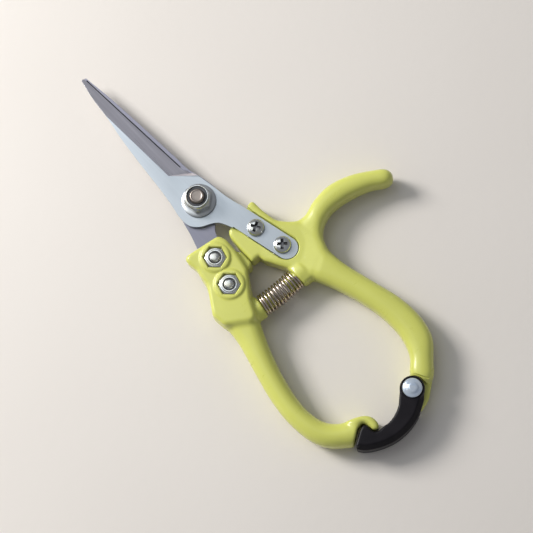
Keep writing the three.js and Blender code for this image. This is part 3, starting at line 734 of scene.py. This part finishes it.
def left_handle():
    grid = Grid((-36, -118, -1.5), (0, -11, 15.5), FIELD_STEP)
    z = grid.z
    grip = rounded(grid.plan(spline(LEFT_GRIP, True), 0.8), z, 0, GRIP_THICK, GRIP_ROUND)
    grip = less(grip, grid.plan(NOTCH, 0.3) + 0 * z, 0.8)
    hook = rounded(grid.plan(spline(HOOK, True), 0.35), z, 0.1, GRIP_THICK - 0.1, 1.7)
    grip = joined(grip, hook, 1.6)
    ramp = grid.plan(LEFT_RAMP, 1.5)
    ground = (SLIDE - RIM) * np.clip(-ramp / RAMP_LENGTH, 0, 1)
    grip = less(grip, z - ground, 1.5)
    head = rounded(grid.plan(rounded_loop(LEFT_HEAD), 0.35), z, SLIDE - RIM, PLATEAU, 1.6)
    body = joined(grip, head, 2.2)
    stop = rounded(grid.plan(rounded_loop(LEFT_STOP), 0.4), z, 1.5, 10.3, 1.0)
    body = joined(body, stop, 1.2)
    towards = turned_by(unit(SPRING_RIGHT - SPRING_LEFT), -SPRING_BEND / 2)
    body = joined(body, grid.rod(SPRING_LEFT, towards, 0.0, 4.7, 0.5), 0.8)
    body = joined(body, grid.rod(SPRING_LEFT, towards, PEG_REACH, PEG_RADIUS, 0.6), 0.4)
    body = collars(grid, -1, LEFT_SCREWS, body)
    obj = mesh_object("left_handle_moulding", *grid.skin(body))
    boolean(obj, recess_tools(-1, LEFT_SCREWS, LEFT_MOUTH) + pocket_tools(-1, LEFT_SCREWS))
    finished(shade(obj), lime, "left", "handle_lime", "left_handle")


right_handle()
left_handle()


# ---------- blades ----------

UPPER_PROFILE = [
    spline([[-0.45, 71.6], [-1.0, 71.2], [-1.5, 69], [-2.6, 63.3], [-3.9, 51], [-5.4, 41.5],
            [-6.6, 30.5], [-8.1, 13], [-9, 6], [-9.9, 0.5], [-9.6, -4.5], [-7.8, -7.2],
            [-5.4, -8.9], [-2.6, -10.2], [-0.2, -12], [1.3, -14.6], [2.4, -17.2]]),
    spline([[11.25, -15.2], [10.5, -11.9], [9.1, -6.4], [8, 0.4], [7, 6], [5.7, 12.6]]),
    [[3.8, 14.6], [0.25, 70.6], [0, 71.4]]]
LOWER_PROFILE = [
    spline([[0.5, 71.6], [1.0, 71.2], [1.3, 69], [1.9, 64.4], [2.7, 57], [3.4, 48.5], [4.1, 39],
            [4.7, 29.5], [5.3, 20.7], [5.7, 13.6], [7.6, 6], [8.4, -1], [6.8, -5.6],
            [2.5, -8.8], [-1.4, -10.8], [-3.6, -13.4], [-4.7, -16.4]]),
    spline([[-13.4, -14.2], [-11.4, -7.5], [-10.2, -2], [-8.8, 3], [-6.4, 10], [-3, 14.6]]),
    [[-0.1, 70.4], [0.1, 71.3]]]
UPPER_GRIND = [(-3.6, 51), (-2, 16.1), (5.3, 9.4)]  # where the bevel starts, then its heel
UPPER_EDGE = [(0.5, 66), (3.7, 15.2)]
LOWER_GRIND = [(3.2, 51), (2.2, 16.1), (-5.6, 9.4)]
LOWER_EDGE = [(-0.1, 66), (-3, 14.9)]
GAP_TIP, GAP_HEEL = 70.3, 16.2  # how far along the blade the gap line runs
GAP_LINE = np.array([[0.2, GAP_TIP], [3.6, GAP_HEEL], [4.2, GAP_HEEL], [0.75, GAP_TIP]])


def inside_gap(point):
    """Whether a point lies in the gap line in plan."""
    share = (GAP_TIP - point.y) / (GAP_TIP - GAP_HEEL)
    return -0.01 <= share <= 1.01 and 0.15 + 3.4 * share < point.x < 0.8 + 3.45 * share


def plane_through(a, b, c, upwards):
    """A point on the plane through three points, and its normal on the given side."""
    a, b, c = (Vector(p) for p in (a, b, c))
    normal = (b - a).cross(c - a).normalized()
    if normal.z * upwards < 0:
        normal.negate()
    return a, normal


def blade(name, side, profile, screws, grind, edge, steel):
    """A flat blade with its tang and bevel. side is 1 for the upper blade, -1 for the lower."""
    inner, outer = SLIDE + side * BLADE_GAP, SLIDE + side * (BLADE_GAP + BLADE_THICK)
    low, high = sorted((inner, outer))
    obj = mesh_object(name, *prism(np.vstack(profile), low, high))
    boolean(obj, [prism(tang(screws, TANG_WIDTH), low, high)], "UNION")
    holes = [(np.zeros(2), BOLT_HOLE)] + [(c, SCREW_HOLE) for c in screws]
    boolean(obj, [prism(circle(c, r, 48), 0, 14) for c, r in holes])
    # the bevel: everything beyond the facet and beyond the heel is ground away
    edge_height = inner + side * EDGE_THICK
    facet = plane_through((*grind[0], outer), (*grind[1], outer), (*edge[1], edge_height), side)
    deeper = (grind[1][0] + 0.3 * side, grind[1][1] + 1.6, outer - side * 1.5)
    heel = plane_through((*grind[1], outer), (*grind[2], outer), deeper, side)
    box = np.array([(x, y, h) for h in (inner - side * 8, outer + side * 6)
                    for x, y in ((-40, 5), (40, 5), (40, 90), (-40, 90))])
    faces = [(0, 1, 2, 3), (4, 5, 6, 7), (0, 1, 5, 4), (1, 2, 6, 5), (2, 3, 7, 6), (3, 0, 4, 7)]
    tool = half_space(box, faces, [(facet[0], -facet[1]), (heel[0], -heel[1])])
    boolean(obj, [tool])
    if side < 0:
        # hollow grinding leaves a gap beside the upper blade's edge; its faces are given a
        # near-black steel, painted shadow that makes it show as a dark line
        boolean(obj, [prism(GAP_LINE, inner - 0.7, inner + 1)])
    edge_rounding(obj, 0.15, 2, 14)
    shade(obj, 14)
    body = "right" if side > 0 else "left"
    finished(obj, steel, body, "blade_steel", name.replace("_ground", ""))
    obj.data.materials.append(bevel_steel)
    obj.data.materials.append(gap_shadow_steel)
    bevel, gap = 1, 2  # places of those two among the materials
    # faces in the gap line get the near-black steel, painted shadow; faces of the facet and heel
    # get the bevel steel
    for face in obj.data.polygons:
        normal, depth = face.normal, abs(face.center.z / MM - inner)
        if normal.dot(facet[1]) > 0.9995 or normal.dot(heel[1]) > 0.999:
            face.material_index = bevel
        elif side < 0 and 0.2 < depth < 0.8 and inside_gap(face.center / MM):
            face.material_index = gap


blade("upper_blade_ground", 1, UPPER_PROFILE, RIGHT_SCREWS, UPPER_GRIND, UPPER_EDGE, upper_steel)
blade("lower_blade_ground", -1, LOWER_PROFILE, LEFT_SCREWS, LOWER_GRIND, LOWER_EDGE, lower_steel)


# ---------- fasteners ----------

AROUND = 72  # points round a turned piece
PIVOT_LIP = 4.08  # inner radius of the lip over the pivot nut's nylon ring
NUT_LIP = 2.45  # the same for the tang screws' lock nuts


def turned(name, profile, centre, side=1, base=SLIDE, thread=None, ring_shaped=False):
    """A round piece about a vertical axis, from radius and height pairs.
    side -1 turns it over. thread is (pitch, depth, lowest, highest)."""
    angles = np.linspace(0, 2 * math.pi, AROUND, endpoint=False)
    rings = []
    for radius, height in profile:
        reach = np.full(AROUND, float(radius))
        if thread and thread[2] <= height <= thread[3]:
            pitch, depth = thread[:2]
            phase = (height / pitch - angles / (2 * math.pi)) % 1
            reach -= depth * np.abs(2 * phase - 1)
        rings.append(np.column_stack([
            centre[0] + reach * np.cos(angles), centre[1] + reach * np.sin(angles),
            np.full(AROUND, base + side * height)]))
    return mesh_object(name, *loft(rings, ring_shaped))


def round_ring(centre, turn, reach, height):
    """A ring of points at a height. reach is one radius, or one for each direction."""
    angles = turn + np.arange(AROUND) * 2 * math.pi / AROUND
    reach = np.broadcast_to(reach, (AROUND,))
    return np.column_stack([centre[0] + reach * np.cos(angles), centre[1] + reach * np.sin(angles),
                            np.broadcast_to(height, (AROUND,))])


def hex_reach(across):
    """How far a hexagon reaches in each direction of a ring that starts at the middle of a flat."""
    angles = np.arange(AROUND) * 2 * math.pi / AROUND
    return across / 2 / np.cos((angles + math.pi / 6) % (math.pi / 3) - math.pi / 6)


def lock_nut(body, names, node, centre, side, base, across, hex_height, height, bore, turn,
             collar, lip):
    """A lock nut that stands on base: chamfered hexagon, round collar, lip and nylon ring."""
    flats = hex_reach(across)
    capped = np.minimum(flats, across / 2 * 0.985)
    drop = (flats - capped) * 0.62
    shoulder = min(0.6, 0.5 * (height - hex_height))
    rings = [(bore, 0.4), (bore + 0.4, 0.0), (capped, 0.0), (flats, drop),
             (flats, hex_height - drop), (capped, hex_height),
             (min(collar + 0.3, across / 2 * 0.98), hex_height + 0.03),
             (collar, hex_height + 0.3 * shoulder), (collar, height - 0.3),
             (collar - 0.06, height - 0.12), (collar - 0.2, height - 0.02),
             (collar - 0.3, height), (lip + 0.1, height - 0.02), (lip, height - 0.15),
             (lip, height - 1.0), (bore + 0.1, height - 1.05), (bore, height - 1.3)]
    rings = [round_ring(centre, turn, reach, base + side * rise) for reach, rise in rings]
    nut = shade(mesh_object(names[0], *loft(rings, True)), 28)
    finished(nut, zinc, body, "fastener_zinc", node)
    outer = lip - 0.03
    profile = [(bore + 0.02, height - 0.95), (outer, height - 0.95), (outer, height - 0.6),
               (outer - 0.12, height - 0.5), (bore + 0.2, height - 0.52),
               (bore + 0.02, height - 0.62)]
    ring = shade(turned(names[1], profile, centre, side, base, ring_shaped=True), 50)
    finished(ring, nylon, body, "nylon", node + "_insert")


def pivot_parts():
    # bolt: a chamfered hexagon head below, then the shank, with its thread showing past the nut
    flats = hex_reach(BOLT_ACROSS)
    capped = np.minimum(flats, 4.9)
    rings = [(0.02, 0.12), (3.6, 0.12), (3.9, 0.0), (capped, 0.0), (flats, (flats - capped) * 0.6),
             (flats, 3.8), (capped, 4.0), (BOLT_RADIUS, 4.0), (BOLT_RADIUS, 13.25)]
    wind = np.arange(AROUND) / AROUND
    for height in np.arange(13.3, 15.7, 0.12):
        rings.append((BOLT_RADIUS - 0.32 * np.abs(2 * ((height - wind) % 1) - 1), height))
    rings += [(2.78, 15.8), (2.72, 16.02), (2.55, 16.2), (2.3, 16.3), (2.1, 16.28), (1.95, 16.18),
              (1.8, 16.17), (0.02, 16.17)]
    rings = [round_ring((0, 0), 0.3, reach, height) for reach, height in rings]
    bolt = shade(mesh_object("pivot_bolt_steel", *loft(rings)), 34)
    finished(bolt, bolt_steel, "right", "fastener_zinc", "pivot_bolt")

    for name, side in (("bottom", -1), ("top", 1)):
        profile = [(3.2, 0.1), (3.3, 0.0), (6.6, 0.0), (6.78, 0.14), (6.8, 0.5), (6.74, 0.82),
                   (6.5, 0.98), (3.4, 1.0), (3.2, 0.85)]
        washer = turned("pivot_washer_%s_plate" % name, profile, (0, 0), side,
                        SLIDE + side * BLADE_STACK, ring_shaped=True)
        finished(shade(washer, 40), washer_zinc, "right", "fastener_zinc", "pivot_washer_" + name)

    lock_nut("right", ("pivot_nut_hex", "pivot_nut_ring"), "pivot_nut", (0, 0), 1,
             SLIDE + BLADE_STACK + 1.05, BOLT_ACROSS, 3.9, 5.6, BOLT_RADIUS, 0.2, 4.7, PIVOT_LIP)


def cross_recess(centre, top, side, turn):
    """The four-winged recess of a screw, narrowing as it goes down."""
    tools = []
    for spin in (turn, turn + math.pi / 2):
        c, s = math.cos(spin), math.sin(spin)
        rings = []
        for reach, wide, down in ((2.4, 0.7, -0.6), (2.15, 0.6, 0.1), (1.0, 0.42, 1.8)):
            corners = np.array([[reach, wide], [-reach, wide], [-reach, -wide], [reach, -wide]])
            plan = np.column_stack([corners @ (c, -s), corners @ (s, c)]) + centre
            rings.append(at_height(plan, top - side * down))
        tools.append(loft(rings))
    return tools


def tang_fasteners(handle, side, screws):
    """Screws through the tang, each with its lock nut and nylon ring in the handle's pocket."""
    under = BLADE_STACK  # height of the head's underside
    for place, centre, spin in zip(("front", "rear"), screws, (0.5, 0.85)):
        head = [(0.01, -6.87), (1.35, -6.87), (1.55, -6.8), (1.75, -6.45)]
        head += [(SCREW_RADIUS, float(h)) for h in np.arange(-6.4, -4.0, 0.09)]
        head += [(SCREW_RADIUS, -3.9), (SCREW_RADIUS, under), (3.2, under), (3.38, under + 0.15),
                 (3.4, under + 0.9), (3.3, under + 1.25), (3.02, under + 1.62),
                 (2.5, under + 1.92), (1.8, under + 2.1), (0.9, under + 2.18), (0.01, under + 2.2)]
        screw = turned("%s_screw_%s" % (handle, place), head, centre, side,
                       thread=(0.7, 0.28, -6.4, -4.1))
        top = SLIDE + side * (under + 2.2)
        boolean(screw, cross_recess(centre, top, side, spin))
        finished(shade(screw, 30), zinc, handle, "fastener_zinc",
                 "%s_tang_screw_%s" % (handle, place))
        screw.data.materials.append(recess_shade_zinc)
        for face in screw.data.polygons:
            middle = np.array(face.center) / MM
            radius = np.linalg.norm(middle[:2] - centre)
            below = side * (top - middle[2])
            # the walls and floor of the recess get the darker, duller zinc: painted shade inside
            # the recess
            if radius < 2.4 and 0.12 + 0.1 * radius ** 2 < below < 2.0:
                face.material_index = 1
        base = SLIDE - side * (NUT_SEAT + BLADE_GAP)
        names = "%s_nut_%s" % (handle, place), "%s_nut_ring_%s" % (handle, place)
        lock_nut(handle, names, "%s_tang_nut_%s" % (handle, place), centre, -side, base,
                 NUT_ACROSS, 4.4, NUT_HEIGHT, SCREW_RADIUS, nut_turn(screws), 3.2, NUT_LIP)


pivot_parts()
tang_fasteners("right", 1, RIGHT_SCREWS)
tang_fasteners("left", -1, LEFT_SCREWS)


# ---------- return spring ----------

def spring():
    """A coil on a shallow arc between the handles, with its end turns closed up."""
    reach = SPRING_RIGHT - SPRING_LEFT
    clear = WIRE_RADIUS + 0.12
    chord = np.linalg.norm(reach) - 2 * clear
    arc_radius = chord / 2 / math.sin(SPRING_BEND / 2)
    turns, per_turn, around = 12.25, 44, 12
    t = np.linspace(0, 1, int(turns * per_turn) + 1)
    closed = 0.11  # share of the turns at each end that lie closer to each other
    advance = np.interp(t, [0, closed, 1 - closed, 1], [0, 0.08, 0.92, 1])
    heading = (advance - 0.5) * SPRING_BEND
    angle = t * turns * 2 * math.pi
    outward = arc_radius + SPRING_RADIUS * np.cos(angle)
    forward = clear + chord / 2 + outward * np.sin(heading)
    sideways = arc_radius * math.cos(SPRING_BEND / 2) - outward * np.cos(heading)
    direction = unit(reach)
    path = np.column_stack([
        SPRING_LEFT[0] + forward * direction[0] - sideways * direction[1],
        SPRING_LEFT[1] + forward * direction[1] + sideways * direction[0],
        SPRING_HEIGHT + SPRING_RADIUS * np.sin(angle)])
    tangent = np.gradient(path, axis=0)
    tangent /= np.linalg.norm(tangent, axis=1)[:, None]
    axis = np.array([*direction, 0.0])
    side_way = np.cross(tangent, axis)
    side_way /= np.linalg.norm(side_way, axis=1)[:, None]
    third = np.cross(tangent, side_way)
    spin = np.linspace(0, 2 * math.pi, around, endpoint=False)
    rings = []
    for i, point in enumerate(path):
        end = min(i, len(path) - 1 - i)
        radius = WIRE_RADIUS * (0.8 if end == 0 else 1.0)
        rings.append(point + radius * (np.outer(np.cos(spin), side_way[i])
                                       + np.outer(np.sin(spin), third[i])))
    obj = shade(mesh_object("return_spring_coil", *loft(rings)), 60)
    obj.data.materials.append(wire_steel)
    end = (*(SPRING_RIGHT - direction) * MM, SPRING_HEIGHT * MM)
    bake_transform(obj)
    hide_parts("return_spring")


spring()


# ---------- latch ----------

HUB_RADIUS = 4.68
TONGUE_CLEAR = 8.7  # radius within which the arm is hollow over the tongue
# the region on the hand's side of the latch arm, and how far its outer side slopes in
ARM_INSIDE = [
    [-27, -113.2], [-20.8, -113], [-16.5, -114.6], [-12.5, -116], [-9, -117],
    [-5.5, -117.4], [-1.5, -117], [2.5, -116], [6, -114.8], [10, -112.8],
    [14, -111], [20, -105], [20, -90], [-27, -90]]
OUTER_SLOPE = 1.9


def latch():
    outline = np.vstack([
        [[-0.4, -112.9], [1.6, -111.8]],
        arc(LATCH_PIVOT, HUB_RADIUS, 2.5, -1.1, 24),
        spline([[10, -116.7], [7, -118.4], [3.6, -120], [-0.6, -120.9], [-5.4, -121],
                [-9.6, -120.3], [-13, -119.1], [-16.4, -117.4], [-19.4, -115.2],
                [-21, -113.1]]),
        [[-20.2, -111.9], [-15.2, -108.9], [-13.3, -108.3], [-12.15, -109.3], [-12.15, -111.9]],
        spline([[-11.6, -113.2], [-10, -113.8], [-8, -113.7], [-5.6, -114.1], [-2.8, -113.7]])])
    grid = Grid((-23, -124, -1), (17, -103, 13), 0.3)
    z = grid.z
    plan = grid.plan(outline, 0.25)
    arm = rounded(plan, z, 0.4, GRIP_THICK - 0.3, 0.7)
    # the outer side slopes away from a ridge; the side towards the hand is steep
    slope = np.minimum(plan, 3 * grid.plan(ARM_INSIDE, 0.6)) + OUTER_SLOPE
    arm = np.maximum(arm, 0.7 * slope + 0.7 * (z - GRIP_THICK + 0.3))
    away = grid.away(LATCH_PIVOT)
    boss = rounded(away - HUB_RADIUS + 0.08, z, 8.0, GRIP_THICK - 0.2, 0.35)
    groove = rounded(np.abs(away - 4.05) - 0.22, z, GRIP_THICK - 0.5, GRIP_THICK + 2, 0.15)
    arm = less(joined(arm, boss, 0.4), groove, 0.2)
    arm = less(arm, np.maximum(away - TONGUE_CLEAR, z - (TONGUE_TOP + 0.3)), 0.3)
    obj = mesh_object("latch_arm", *grid.skin(arm))
    boolean(obj, [prism(circle(LATCH_PIVOT, 2.0, 40), -2, 14)])
    finished(shade(obj, 40), black, "latch", "latch_black", "latch_gate")

    under = GRIP_THICK - 0.1
    profile = [(0.01, 0.05), (2.2, 0.05), (2.5, 0.2), (2.6, 0.38), (2.3, 0.5),
               (RIVET_RADIUS, 0.55), (RIVET_RADIUS, under)]
    profile += [(radius, under + rise) for radius, rise in (
        (3.4, 0), (3.62, 0.08), (3.7, 0.25), (3.66, 0.45), (3.5, 0.64), (3.2, 0.79), (2.8, 0.9),
        (2.5, 1.0), (2.25, 1.18), (2.0, 1.4), (1.75, 1.56), (1.5, 1.63), (1.0, 1.66), (0.01, 1.68))]
    rivet = shade(turned("latch_rivet_dome", profile, LATCH_PIVOT, 1, 0.0), 40)
    finished(rivet, rivet_steel, "right", "rivet_steel", "latch_rivet")
    profile = [(RIVET_HOLE, 0.5), (3.2, 0.5), (3.3, 0.6), (3.3, 1.1), (3.2, 1.2), (RIVET_HOLE, 1.2)]
    washer = turned("latch_rivet_washer_plate", profile, LATCH_PIVOT, 1, 0.0, ring_shaped=True)
    finished(shade(washer, 40), zinc, "right", "rivet_steel", "latch_rivet_washer")


latch()


# ---------- floor, light and camera ----------

def floor():
    mesh = bpy.data.meshes.new("floor")
    bm = bmesh.new()
    bmesh.ops.create_grid(bm, x_segments=8, y_segments=8, size=1.6)
    bm.to_mesh(mesh)
    bm.free()
    obj = placed("floor", mesh)
    obj.location.z = -0.0003
    f = Finish("pale_floor", (0.78, 0.73, 0.68, 1), 0.75)
    cloud = f.noise(7, seed=1.1, detail=2)
    f.colour(f.mixed(f.ranged(cloud, 0, 1), (0.77, 0.72, 0.67, 1), (0.80, 0.75, 0.70, 1)))
    f.bump(f.noise(260, seed=3.0, detail=3), 0.15, 0.0004)
    obj.data.materials.append(f.material)


# the camera's axes
RIGHTWARD = Vector((0.73898897, -0.66772778, -0.0896377))
UPWARD = Vector((0.66663278, 0.70547241, 0.24064375))
BACKWARD = Vector((-0.09744759, -0.2375885, 0.96646556))


def softbox(name, aim, direction, away, width, height, power, colour):
    """A soft light at a distance from the point it aims at."""
    data = bpy.data.lights.new(name, "AREA")
    data.shape, data.size, data.size_y = "RECTANGLE", width, height
    data.energy, data.color = power, colour
    direction = direction.normalized()
    across = direction.cross(RIGHTWARD.cross(direction)).normalized()
    turn = Matrix((across, direction.cross(across), direction)).transposed()
    place = Matrix.Translation(aim + direction * away)
    placed(name, data).matrix_world = place @ turn.to_4x4()


def lights():
    middle = (cad_box[0] + cad_box[1]) / 2
    # the picture's right and up, laid flat
    flat_right, flat_up = Vector((0.742, -0.670, 0)), Vector((0.670, 0.742, 0))
    up = Vector((0, 0, 1))
    softbox("key", middle, -0.95 * flat_right + 0.42 * flat_up + 0.74 * up, 0.9, 0.3, 0.3,
            8.2, (1.0, 0.985, 0.96))
    softbox("top", middle, -0.43 * flat_right + 0.32 * flat_up + up, 1.2, 0.8, 0.75,
            2.2, (0.90, 0.96, 1.0))
    softbox("side", middle, -flat_right + 0.1 * flat_up + 0.45 * up, 1.0, 0.5, 0.9,
            0.9, (1.0, 0.98, 0.96))
    world = bpy.data.worlds.new("studio")
    world.use_nodes = True
    background = world.node_tree.nodes["Background"]
    background.inputs["Color"].default_value = (0.80, 0.83, 0.88, 1)
    background.inputs["Strength"].default_value = 0.3
    bpy.context.scene.world = world


def camera():
    data = bpy.data.cameras.new("camera")
    data.sensor_width, data.lens = 36.0, 97.48
    data.clip_start, data.clip_end = 0.05, 10.0
    obj = placed("camera", data)
    turn = Matrix((RIGHTWARD, UPWARD, BACKWARD)).transposed()
    place = Vector((-52.7241, -170.2307, 547.2207)) * MM
    obj.matrix_world = Matrix.Translation(place) @ turn.to_4x4()
    bpy.context.scene.camera = obj


floor()
lights()
camera()
bpy.context.scene.view_settings.view_transform = "Standard"
